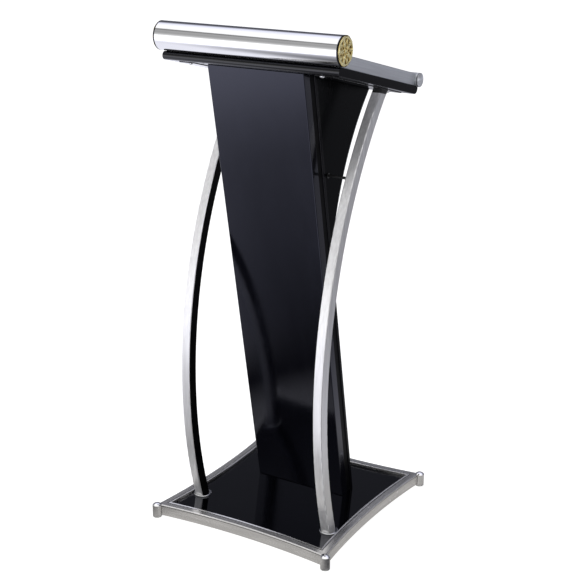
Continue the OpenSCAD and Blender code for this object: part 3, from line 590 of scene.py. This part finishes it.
def set_world():
    """White to the camera; reflections see white low down, grey walls and a bright ceiling."""
    world = bpy.data.worlds.new("studio")
    bpy.context.scene.world = world
    t = Tree(world)
    x, y, z = t.split(t.new("ShaderNodeTexCoord").outputs["Generated"])
    up = t.range(z, -1, 1)
    front = t.ramp(up, [(0.0, 1.6), (0.525, 1.7), (0.555, 1.10), (0.62, 0.56), (0.70, 0.38), (0.79, 0.42),
                        (0.825, 0.20), (0.835, 0.20), (0.86, 1.15), (1.0, 1.2)])
    rear = t.ramp(up, [(0.0, 0.6), (0.512, 0.6), (0.535, 0.38), (0.60, 0.30), (0.66, 0.09), (0.76, 0.08),
                       (0.80, 0.12), (0.84, 0.45), (0.875, 0.95), (1.0, 1.0)])
    rear = t.mix(1.0, rear, (0.92, 0.94, 1.11), "MULTIPLY")
    room = t.mix(t.range(y, -0.1, 0.45, smooth=True), front, rear)
    # The diffuse light is dimmed from the right
    path = t.new("ShaderNodeLightPath").outputs
    soft = t.math("MULTIPLY", path["Is Diffuse Ray"], t.range(x, -0.3, 0.5, 0.0, 0.7))
    room = t.mix(soft, room, (0.0, 0.0, 0.0))
    colour = t.mix(path["Is Camera Ray"], room, (1.0, 1.0, 1.0))
    out = t.new("ShaderNodeOutputWorld")
    bg = t.new("ShaderNodeBackground", {"Color": colour, "Strength": 1.0})
    t.tree.links.new(bg.outputs[0], out.inputs[0])


FLOOR_REACH = 14.0
FLOOR_SHADED = 2.6              # metres from the object over which the floor's tone changes


def make_floor():
    """A pale sweep: white to the camera, and in reflections darker close to the object, a painted shadow.
    """
    mesh = bpy.data.meshes.new("floor")
    s = FLOOR_REACH
    mesh.from_pydata([(-s, -s, 0), (s, -s, 0), (s, s, 0), (-s, s, 0)], [], [(0, 1, 2, 3)])
    floor = bpy.data.objects.new("floor", mesh)
    bpy.context.scene.collection.objects.link(floor)
    m = bpy.data.materials.new("floor")
    mesh.materials.append(m)
    t = Tree(m)
    p = t.place()
    x, y, z = t.split(p)
    d = t.math("SQRT", t.math("ADD", t.math("POWER", x, 2.0), t.math("POWER", y, 2.0)))
    away = t.range(d, 0.0, FLOOR_SHADED)
    # Painted shadow: in reflections the floor is dark close round the object and brightens outwards
    near = t.ramp(away, [(0.0, 0.42), (0.125, 0.42), (0.165, 0.03), (0.27, 0.14), (0.41, 0.28),
                         (0.61, 0.45), (0.72, 0.74), (0.82, 1.2), (1.0, 1.7)])
    # Past the right leg, and then to the left of the object
    beside = t.range(t.math("SUBTRACT", x, t.math("MULTIPLY", y, 0.5)), 0.03, 0.14, smooth=True)
    near = t.mix(t.math("MULTIPLY", beside, t.range(d, 0.45, 0.65)), near, (1.25, 1.25, 1.25))
    leftward = t.math("SUBTRACT", t.math("MULTIPLY", y, 0.8), x)
    outside = t.range(leftward, -0.10, 0.50, smooth=True)
    near = t.mix(t.math("MULTIPLY", outside, t.range(d, 0.45, 0.6)), near, (0.95, 0.95, 0.95))
    # To the right of the object, near and far
    right = t.ramp(away, [(0.0, 0.45), (0.14, 0.45), (0.20, 0.70), (0.45, 0.40),
                          (0.8, 0.27), (1.0, 0.30)])
    rightward = t.math("ADD", x, t.math("MULTIPLY", y, 0.6))
    shade = t.mix(t.range(rightward, 0.0, 0.5, smooth=True), near, right)
    far_right = t.math("MULTIPLY", t.range(d, 5.5, 9.0), t.range(x, 0.0, 1.5))
    shade = t.mix(far_right, shade, (0.50, 0.50, 0.50))
    # Warm close to the object and cool farther out, with a painted dark patch at the front right
    tint = t.mix(t.range(d, 0.35, 0.7), (1.0, 0.985, 0.965), (0.96, 0.965, 1.06))
    shade = t.mix(1.0, shade, tint, "MULTIPLY")
    turn = t.math("ABSOLUTE", t.math("ADD", t.math("ARCTAN2", y, x), 0.54))
    painted_dark_patch = t.math("MULTIPLY", t.range(turn, 0.42, 0.18, smooth=True), t.range(d, 0.3, 0.36))
    shade = t.mix(painted_dark_patch, shade, (0.05, 0.05, 0.055))
    # Only the camera sees the lit floor; reflections see the painted tones above
    seen = t.new("ShaderNodeLightPath").outputs["Is Camera Ray"]
    glow = t.mix(seen, shade, (0.93, 0.93, 0.93))
    speckle = t.range(t.noise(p, 300, 4, 0.6), 0.3, 0.7, 0.40, 0.44)
    lit = t.new("ShaderNodeBsdfDiffuse", {"Color": t.mix(seen, (0.0, 0.0, 0.0), speckle)})
    own = t.new("ShaderNodeEmission", {"Color": glow, "Strength": 1.0})
    both = t.new("ShaderNodeAddShader", {0: lit.outputs[0], 1: own.outputs[0]})
    out = t.new("ShaderNodeOutputMaterial")
    t.tree.links.new(both.outputs[0], out.inputs[0])


def softbox(name, place, aim, side, power):
    """A square lamp that lights the object but isn't seen in its reflections."""
    data = bpy.data.lights.new(name, "AREA")
    data.shape = "RECTANGLE"
    data.size = side
    data.size_y = side
    data.energy = power
    o = bpy.data.objects.new(name, data)
    bpy.context.scene.collection.objects.link(o)
    o.location = place
    o.rotation_euler = (Vector(aim) - Vector(place)).to_track_quat("-Z", "Y").to_euler()
    o.visible_glossy = False


LAMP_AIM = (0, 0, 0.6)


set_camera()
make_materials()
dress_nodes()
for node, mm in ROUNDED.items():
    rounded(node, mm)
make_medallions()
set_world()
make_floor()
softbox("key", (-2.6, -2.4, 2.6), LAMP_AIM, 1.8, 72)
softbox("fill", (2.8, -2.2, 2.2), LAMP_AIM, 2.0, 9)
bpy.context.scene.view_settings.view_transform = "Standard"
